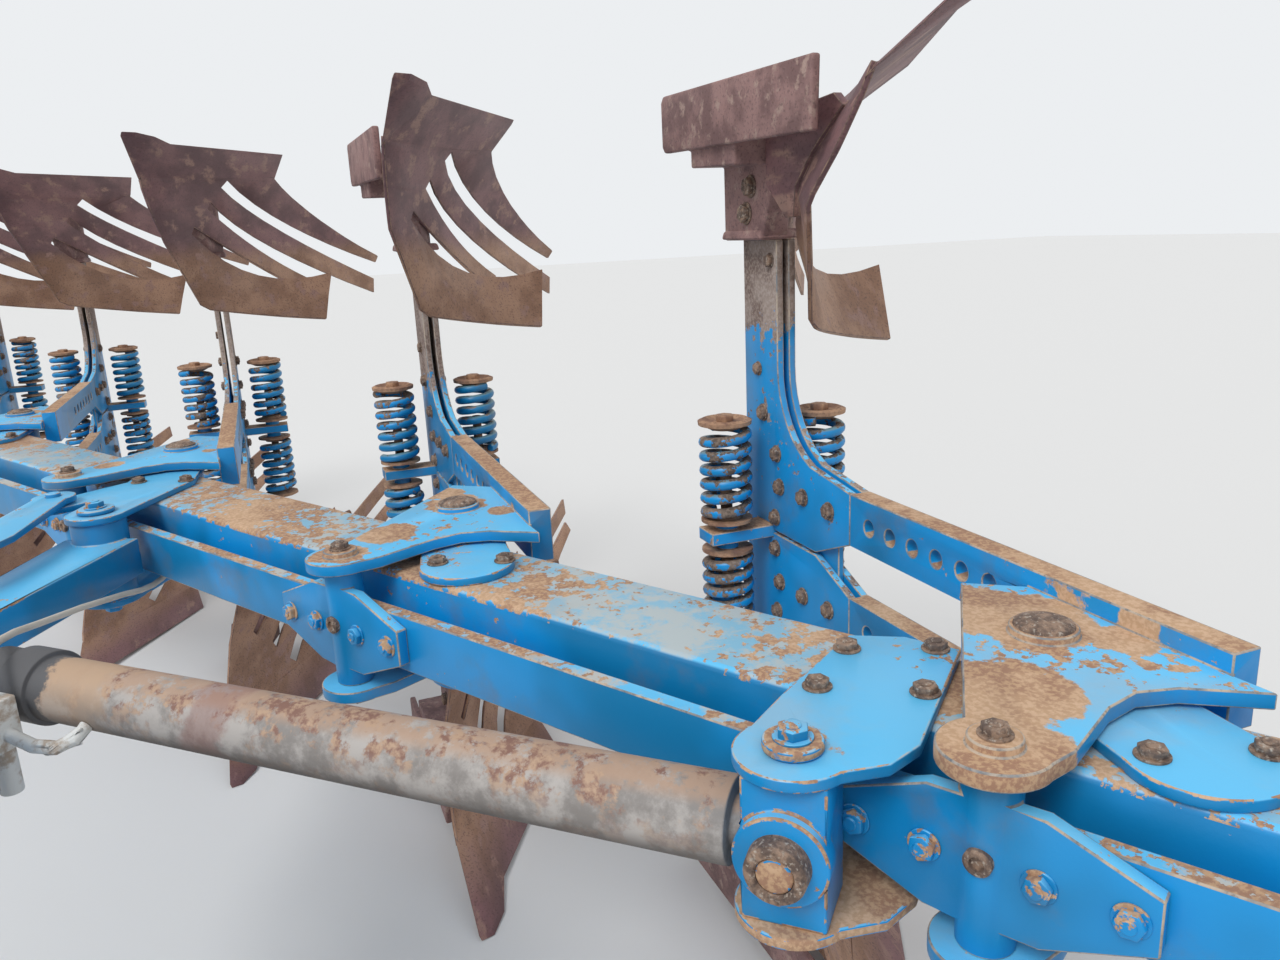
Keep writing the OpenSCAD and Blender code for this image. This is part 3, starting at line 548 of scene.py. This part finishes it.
def fasten(name, body, pattern, seats, material):
    """Copies of one fastener at each seat: a place and the way it points."""
    copies = [placed_copy(pattern, place, way, 0.9 * n) for n, (place, way) in enumerate(seats)]
    piece = join(copies, name)
    paint(piece, material)
    return fit(piece, body)


def both_heights(x, y, z, k, way):
    """The same seat above and below the beam's middle."""
    return [(from_pivot(x, y, z, k), way), (from_pivot(x, y, -z, k), Vector((way.x, way.y, -way.z)))]


def landing(node, start, way):
    """Where a line from start first meets a node, and the way that surface faces."""
    if node not in SURFACES:
        mesh = NODES[node].data
        SURFACES[node] = BVHTree.FromPolygons([corner.co for corner in mesh.vertices],
                                              [face.vertices for face in mesh.polygons])
    place, normal, _, _ = SURFACES[node].ray_cast(start, way.normalized())
    return (place, normal) if place else None


def through_plates(along, across, k=1):
    """Seats above and below the pair of pivot plates."""
    return [(on_beam(along, across, PLATE_TOP, k), UP), (on_beam(along, across, -PLATE_TOP, k), -UP)]


def station_bolts(k, kit, looks):
    """The bolts of one pair of bodies, with their crank, their bar bracket and the plates at their pivot."""
    carrier = "carrier_%d" % k
    seats = []
    for x, z in ((-850, 172), (-838, 104), (-745, 104), (-650, 100), (-857, 34), (-905, 250)):
        seats += both_heights(x, LEG_SIDE, z, k, TO_RIGHT)
        seats += both_heights(x, LEG_SIDE + LEG_WIDTH, z, k, -TO_RIGHT)
    fasten("hub_bolts_%d" % k, carrier, kit["m20"], seats, looks["bolt"])

    seats = both_heights(-900, FROG_SIDE, 652, k, TO_RIGHT) + both_heights(-880, FROG_SIDE, 702, k, TO_RIGHT)
    fasten("frog_bolts_%d" % k, carrier, kit["m24"], seats, looks["bolt"])

    seats = both_heights(-925, LEG_SIDE, 340, k, TO_RIGHT) + both_heights(-870, LEG_SIDE, 560, k, TO_RIGHT)
    fasten("leg_bolts_%d" % k, carrier, kit["m16"], seats, looks["bolt"])

    seats = both_heights(186, -234, CRANK_SEAT, k, UP)
    fasten("crank_nuts_%d" % k, carrier, kit["m20"], seats, looks["bolt"])
    fasten("pivot_domes_%d" % k, carrier, kit["dome"], both_heights(0, 0, CRANK_SEAT, k, UP), looks["bolt"])

    seats = [(on_beam(BAR_MID + along, BAR_FACE, 0, k), OUTWARD) for along in (-138, -59, 57, 139)]
    fasten("bar_bolts_%d" % k, "control_bar", kit["m20"], seats, looks["blue_bolt"])
    plug = [(on_beam(BAR_MID, BAR_FACE - 7.7, 8, k), OUTWARD)]
    fasten("bar_plug_%d" % k, "control_bar", kit["plug"], plug, looks["bolt"])

    seats = through_plates(165, -190, k) + through_plates(256, -120, k)
    fasten("plate_bolts_%d" % k, "beam", kit["m20"], seats, looks["bolt"])

    frog_lips(k, looks)

    heads = []
    for y, z in ((-5, 780), (8, 700), (30, 600), (60, 510), (190, 500), (190, 430), (300, 500)):
        for side in (1, -1):
            found = landing("boards_%d" % k, from_pivot(0, y, side * z, k), Vector((-1, -0.4, 0)))
            if found:
                heads.append(found)
    if heads:
        fasten("slat_bolts_%d" % k, carrier, kit["plough"], heads, looks["board_edge"])


def frog_lips(k, looks):
    """The raised lower edge of both frog castings of a station."""
    lips = []
    for way in (1, -1):
        bpy.ops.mesh.primitive_cube_add(size=1)
        lip = bpy.context.active_object
        lip.data.transform(Matrix.Diagonal((0.170, 0.104, 0.018, 1)))
        for corner in lip.data.vertices:
            if corner.co.z > 0:
                corner.co.x *= 0.95
                corner.co.y *= 0.92
        ease_edges(lip, 0.006, 3, limit=20)
        lip.matrix_world = Matrix.Translation(from_pivot(-920, 105, way * 611, k)) @ Matrix.Scale(way, 4, UP)
        lips.append(lip)
    lips = join(lips, "frog_lips_%d" % k)
    face_outward(lips)
    paint(lips, looks["frog"])
    smooth(lips, 35)
    fit(lips, "carrier_%d" % k)


def ring_of_six(middle, radius, across, way, start=0):
    """Six seats on a circle in metres: across is its level direction, way where the bolts point."""
    seats = []
    for n in range(6):
        turn = math.radians(60 * n + start)
        seats.append((middle + radius * math.cos(turn) * across + radius * math.sin(turn) * UP, way))
    return seats


def plough_bolt():
    """Flat round head of a share bolt, worn nearly flush."""
    bpy.ops.mesh.primitive_cylinder_add(vertices=20, radius=0.013, depth=0.003, location=(0, 0, 0.0006))
    piece = bpy.context.active_object
    piece.name = "plough_bolt"
    ease_edges(piece, 0.0009, 2)
    return join([piece], "plough_bolt")


# Trip springs

def coil_pattern():
    """The wound wire of one trip spring, standing at the origin."""
    wire, outer, length, turns = 0.022, 0.111, 0.208, 6
    first = (outer / 2 - wire / 2, 0, wire / 2 + 0.004)
    bpy.ops.mesh.primitive_circle_add(vertices=12, radius=wire / 2, location=first,
                                      rotation=(math.pi / 2, 0, 0))
    coil = bpy.context.active_object
    bpy.ops.object.transform_apply(location=True, rotation=True, scale=True)
    screw = coil.modifiers.new("turns", "SCREW")
    screw.angle = 2 * math.pi * turns
    screw.screw_offset = length - wire - 0.006
    screw.steps = 24 * turns
    screw.render_steps = 24 * turns
    screw.use_normal_calculate = True
    bpy.ops.object.modifier_apply(modifier=screw.name)
    bpy.ops.object.mode_set(mode="EDIT")
    bpy.ops.mesh.select_all(action="DESELECT")
    bpy.ops.mesh.select_non_manifold()
    bpy.ops.mesh.fill_holes(sides=0)
    bpy.ops.object.mode_set(mode="OBJECT")
    face_outward(coil)
    coil.name = "coil"
    return coil


def lathe(name, profile, sides=32):
    """A closed profile of radius and height spun round the upright axis."""
    mesh = bpy.data.meshes.new(name)
    rim = [(radius, 0, height) for radius, height in profile]
    mesh.from_pydata(rim, [(n, (n + 1) % len(rim)) for n in range(len(rim))], [])
    piece = bpy.data.objects.new(name, mesh)
    bpy.context.scene.collection.objects.link(piece)
    pick(piece)
    bpy.ops.object.mode_set(mode="EDIT")
    bpy.ops.mesh.select_all(action="SELECT")
    bpy.ops.mesh.spin(steps=sides, angle=2 * math.pi, center=(0, 0, 0), axis=(0, 0, 1))
    bpy.ops.mesh.select_all(action="SELECT")
    bpy.ops.mesh.remove_doubles(threshold=0.00002)
    bpy.ops.object.mode_set(mode="OBJECT")
    face_outward(piece)
    return piece


def trip_springs(looks):
    """Four springs at each leg pair, with their cups, caps, rods and nuts."""
    coil = coil_pattern()
    cap = lathe("cap", [(0.022, 0.200), (0.030, 0.196), (0.046, 0.204), (0.055, 0.206), (0.056, 0.214),
                        (0.047, 0.218), (0.036, 0.211), (0.022, 0.210)])
    cup = lathe("cup", [(0.012, 0.0), (0.054, 0.0), (0.054, 0.006), (0.034, 0.008), (0.030, 0.016),
                        (0.012, 0.016)])
    bolt = rod(Vector((0, 0, 0)), Vector((0, 0, 0.212)), 0.0125, 20)
    nut = hex_bolt("spring_nut", 0.034, 0.012, 0.046, 0.003)
    for k in STATIONS:
        coils, ends = [], []
        for way in (UP, -UP):
            for side in (-SPRING_SIDE, SPRING_SIDE):
                seat = from_pivot(-SPRING_BACK, LEG_MID + side, SPRING_FOOT * way.z, k)
                spin = 1.3 * k + side * 0.01 + (0.8 if way.z < 0 else 0)
                coils.append(placed_copy(coil, seat, way, spin))
                ends += [placed_copy(pattern, seat, way) for pattern in (cap, cup, bolt)]
                ends.append(placed_copy(nut, seat + way * 0.2095, way, spin))
        springs = join(coils, "trip_springs_%d" % k)
        paint(springs, looks["coil"])
        smooth(springs, 40)
        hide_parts("springs_%d" % k)
        fit(springs, "carrier_%d" % k)
        seats = join(ends, "spring_ends_%d" % k)
        paint(seats, looks["cap"])
        smooth(seats, 30)
        fit(seats, "carrier_%d" % k)
    for pattern in (coil, cap, cup, bolt, nut):
        bpy.data.objects.remove(pattern)


# Rigid parts

def rigid_parts(looks):
    """Each solid with the width of its eased edges, its finish and the finish of its worn edges."""
    edge, chipped = looks["edge"], looks["blue_edge"]
    dress("beam", 0.010, looks["beam"], chipped, segments=3)
    dress("pivot_plates", 0.0025, looks["plates"], chipped)
    dress("brackets", 0.0025, looks["plates"], chipped)
    dress("control_bar", 0.002, looks["bar"], edge)
    dress("bar_brackets", 0.002, looks["frame"], edge)
    dress("turnover_head", 0.003, looks["frame"], chipped)
    dress("headstock", 0.003, looks["frame"], chipped)
    dress("cross_shaft", 0.003, looks["shaft"], looks["shaft"])
    dress("parking_stand", 0.003, looks["frame"], edge)
    dress("width_barrel", 0.002, looks["barrel"], edge)
    dress("width_rod", 0.002, looks["shaft"], edge)
    dress("swing_knuckle", 0.003, looks["knuckle"], chipped)
    dress("swing_barrel", 0.002, looks["barrel"], looks["barrel"])
    dress("port_block", 0.002, looks["port"], looks["port"])
    dress("hose", 0, looks["hose"], looks["hose"], angle=60)
    dress("swing_rod", 0.002, looks["shaft"], edge)
    dress("wheel_arm", 0.004, looks["frame"], chipped)
    dress("wheel_link", 0.002, looks["plates"], chipped)
    dress("wheel_head", 0.003, looks["frame"], chipped)
    dress("wheel_leg", 0.003, looks["frame"], chipped)
    dress("wheel_rim", 0.002, looks["rim"], chipped)
    dress("tyre", 0.006, looks["tyre"], looks["tyre"], segments=3)
    for k in STATIONS:
        dress("carrier_%d" % k, 0.002, looks["carrier_%d" % k], edge)
        dress("legs_%d" % k, 0.002, looks["leg" if k == 1 else "far_leg"], edge)
        dress("frogs_%d" % k, 0.004, looks["frog"], looks["frog"])
        dress("boards_%d" % k, 0.0015, looks["board"], looks["board_edge"], angle=40, segments=1)


def wheel_fasteners(kit, looks):
    """Nuts on the arm's pin and round the wheel's hub, with its dust cap."""
    arm_top = PLATE_TOP + 10.3
    pins = [(on_beam(*ARM_PIN, arm_top), UP), (on_beam(*ARM_PIN, -arm_top), -UP)]
    fasten("arm_pin_nuts", "wheel_arm", kit["m24"], pins, looks["blue_bolt"])
    axle = axle_place()
    nuts = ring_of_six(axle + 0.010 * TO_RIGHT, 0.0825, AHEAD, TO_RIGHT, 10)
    fasten("wheel_nuts", "wheel", kit["m16"], nuts, looks["bolt"])
    fasten("hub_cap", "wheel", kit["cap"], [(axle + 0.075 * TO_RIGHT, TO_RIGHT)], looks["bolt"])


def fasteners(looks):
    """One pattern of each bolt, nut, dome, ring and cap, copied to its seats and then thrown away."""
    kit = {
        "m16": hex_bolt("small_bolt", 0.022, 0.007, 0.030, 0.002),
        "m20": hex_bolt("middle_bolt", 0.026, 0.008, 0.036, 0.003, stud=0.003),
        "m24": hex_bolt("large_bolt", 0.031, 0.010, 0.044, 0.003, stud=0.003),
        "dome": lathe("pin_dome", [(0.0, 0.0), (0.037, 0.0), (0.036, 0.004), (0.024, 0.009), (0.012, 0.0105),
                                   (0.0, 0.011)], 28),
        "ring": lathe("pin_ring", [(0.0203, 0.0), (0.034, 0.0), (0.033, 0.020), (0.030, 0.0245),
                                   (0.0225, 0.0245), (0.0203, 0.021)], 36),
        "plough": plough_bolt(),
        "cap": lathe("dust_cap", [(0.0, 0.0), (0.046, 0.0), (0.046, 0.012), (0.038, 0.024),
                                  (0.0, 0.028)], 28),
        "plug": lathe("plug", [(0.0, 0.0), (0.015, -0.003), (0.015, 0.004), (0.012, 0.006), (0.008, 0.006),
                               (0.007, 0.001), (0.0, 0.001)], 24),
    }
    for k in STATIONS:
        station_bolts(k, kit, looks)
    bracket = []
    for along, across in ((-204, -126), (-184, -240), (-111, -66), (-74, -185)):
        bracket += through_plates(along, across)
    fasten("bracket_bolts", "beam", kit["m20"], bracket, looks["bolt"])
    knuckle_top = 111.3
    pin_ends = [(on_beam(*CYLINDER_PIN, knuckle_top), UP), (on_beam(*CYLINDER_PIN, -knuckle_top), -UP)]
    fasten("cylinder_pin_bolt", "swing_cylinder", kit["m24"], pin_ends, looks["blue_bolt"])
    ring_seat = KNUCKLE_PIN - 0.022 * KNUCKLE_SIDE
    fasten("knuckle_ring", "swing_cylinder", kit["ring"], [(ring_seat, KNUCKLE_SIDE)], looks["bolt"])
    wheel_fasteners(kit, looks)
    spindle = from_pivot(*SPINDLE_FACE, 0)
    head_bolts = ring_of_six(spindle, 0.092, -TO_RIGHT, AHEAD)
    fasten("spindle_bolts", BODY["turnover_head"], kit["m24"], head_bolts, looks["bolt"])
    fasten("spindle_cap", BODY["turnover_head"], kit["cap"], [(spindle, AHEAD)], looks["frame"])
    for pattern in kit.values():
        bpy.data.objects.remove(pattern)


def tread(looks):
    """Blunt blocks round both shoulders of the tyre."""
    count, from_middle = 44, 0.127
    foot, top = (0.034, 0.440), (0.026, 0.470)
    axle = Matrix.Translation(axle_place())
    bpy.ops.mesh.primitive_cube_add(size=1, location=(0, 0, 0))
    block = bpy.context.active_object
    for corner in block.data.vertices:
        length, radius = top if corner.co.z > 0 else foot
        corner.co = Vector((corner.co.x * length, corner.co.y * 0.040, radius))
        corner.co.z -= 0.016 if corner.co.y > 0 else 0
    ease_edges(block, 0.003, 2)
    blocks = []
    for side in (-1, 1):
        for n in range(count):
            copy = placed_copy(block, Vector(), UP)
            roll = Matrix.Rotation(2 * math.pi * (n + 0.25 * side) / count, 4, "Y")
            mirrored = Matrix.Rotation(math.pi if side < 0 else 0, 4, "Z")
            copy.matrix_world = axle @ roll @ mirrored @ Matrix.Translation((0, from_middle, 0))
            blocks.append(copy)
    bpy.data.objects.remove(block)
    treads = join(blocks, "tyre_tread")
    paint(treads, looks["tyre"])
    smooth(treads, 35)
    fit(treads, "wheel")


# Floor and light

def studio():
    """A pale floor without edges, an even sky and one broad, weak sun."""
    bpy.ops.mesh.primitive_plane_add(size=90, location=(0, 0, 0))
    floor = bpy.context.active_object
    floor.name = "floor"
    f = Finish("pale_floor")
    f.shader.inputs["Base Color"].default_value = (0.74, 0.735, 0.72, 1)
    f.shader.inputs["Roughness"].default_value = 0.95
    paint(floor, f.material)

    world = bpy.data.worlds.new("soft_daylight")
    bpy.context.scene.world = world
    world.use_nodes = True
    nodes, links = world.node_tree.nodes, world.node_tree.links
    lit = nodes["Background"]
    lit.inputs["Color"].default_value = (0.95, 0.97, 1.0, 1)
    lit.inputs["Strength"].default_value = 0.72
    seen = nodes.new("ShaderNodeBackground")
    seen.inputs["Color"].default_value = (0.84, 0.86, 0.88, 1)
    seen.inputs["Strength"].default_value = 1.0
    rays = nodes.new("ShaderNodeLightPath")
    both = nodes.new("ShaderNodeMath")
    both.operation = "MAXIMUM"
    links.new(rays.outputs["Is Camera Ray"], both.inputs[0])
    links.new(rays.outputs["Is Glossy Ray"], both.inputs[1])
    mix = nodes.new("ShaderNodeMixShader")
    links.new(both.outputs[0], mix.inputs[0])
    links.new(lit.outputs[0], mix.inputs[1])
    links.new(seen.outputs[0], mix.inputs[2])
    links.new(mix.outputs[0], nodes["World Output"].inputs["Surface"])

    bpy.ops.object.light_add(type="SUN", location=(0, 0, 5))
    sun = bpy.context.active_object
    sun.data.energy = 1.6
    sun.data.angle = math.radians(25)
    sun.rotation_euler = Vector((0.42, -0.55, 0.72)).to_track_quat("Z", "Y").to_euler()
    bpy.context.scene.view_settings.view_transform = "Standard"


stand_camera()
studio()
looks = finishes()
rigid_parts(looks)
trip_springs(looks)
fasteners(looks)
tread(looks)
deselect()
